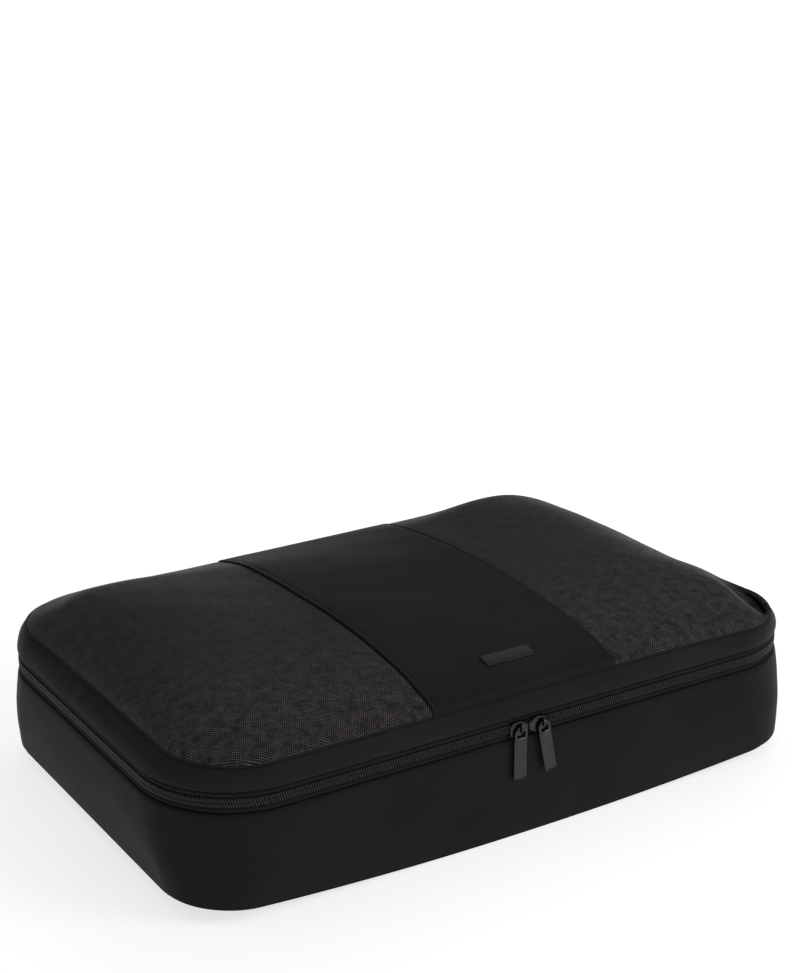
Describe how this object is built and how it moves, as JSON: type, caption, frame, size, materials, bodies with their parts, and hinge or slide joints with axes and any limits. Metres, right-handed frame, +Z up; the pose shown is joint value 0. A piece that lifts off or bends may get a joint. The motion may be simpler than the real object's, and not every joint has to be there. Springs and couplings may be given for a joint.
{
  "type": "packing cube",
  "caption": "Soft rectangular packing cube with a domed lid, mesh windows beside a closed centre panel, a two-way coil zip and a fabric hinge along the back.",
  "frame": {"origin": "middle of the footprint on the resting plane", "axes": "+X along the long front side, -Y out of the front where the sliders are, +Z up"},
  "size_m": [0.434, 0.2807, 0.1146],
  "materials": {
    "wall_nylon": "smooth satin nylon, near black",
    "lid_nylon": "smooth satin nylon, near black",
    "lid_mesh": "fine knitted polyester mesh, charcoal",
    "binding_webbing": "ribbed grosgrain tape, black",
    "zip_tape": "woven polyester zip tape, black",
    "zip_coil": "extruded nylon coil, black",
    "label_satin": "woven satin ribbon, off white, blank",
    "badge_metal": "small zinc plate, gunmetal satin plating, blank",
    "slider_gunmetal": "die-cast zinc with a gunmetal plating"
  },
  "bodies": {
    "base": {"bottom_panel": "wall_nylon", "front_wall": "wall_nylon", "left_wall": "wall_nylon", "right_wall": "wall_nylon", "back_wall": "wall_nylon", "base_seam_binding": "binding_webbing", "lower_zip_tape": "zip_tape", "lower_zip_coil": "zip_coil", "hinge_strip": "wall_nylon", "left_zip_end_tab": "binding_webbing", "right_zip_end_tab": "binding_webbing", "care_label": "label_satin"},
    "lid": {"lid_gusset_front": "lid_nylon", "lid_gusset_left": "lid_nylon", "lid_gusset_right": "lid_nylon", "lid_gusset_back": "lid_nylon", "lid_center_panel": "lid_nylon", "lid_left_mesh": "lid_mesh", "lid_right_mesh": "lid_mesh", "upper_zip_tape": "zip_tape", "upper_zip_coil": "zip_coil", "lid_seam_binding": "binding_webbing", "left_seam_tape": "binding_webbing", "right_seam_tape": "binding_webbing", "badge": "badge_metal"},
    "left_slider": {"left_slider": "slider_gunmetal"},
    "right_slider": {"right_slider": "slider_gunmetal"},
    "left_pull": {"left_pull": "slider_gunmetal"},
    "right_pull": {"right_pull": "slider_gunmetal"}
  },
  "joints": [
    {"name": "lid_hinge", "type": "hinge", "parent": "base", "child": "lid", "pos_m": [0, 0.1395, 0.072], "axis": [-1, 0, 0], "range_deg": [0, 180]},
    {"name": "left_slider_travel", "type": "slide", "parent": "base", "child": "left_slider", "axis": [-1, 0, 0], "range_m": [0, 0.14]},
    {"name": "right_slider_travel", "type": "slide", "parent": "base", "child": "right_slider", "axis": [1, 0, 0], "range_m": [0, 0.14]},
    {"name": "left_pull_swing", "type": "hinge", "parent": "left_slider", "child": "left_pull", "pos_m": [-0.00775, -0.13995, 0.0733], "axis": [-1, 0, 0], "range_deg": [0, 170]},
    {"name": "right_pull_swing", "type": "hinge", "parent": "right_slider", "child": "right_pull", "pos_m": [0.00755, -0.13995, 0.0733], "axis": [-0.9799, 0, -0.1994], "range_deg": [0, 170]}
  ]
}
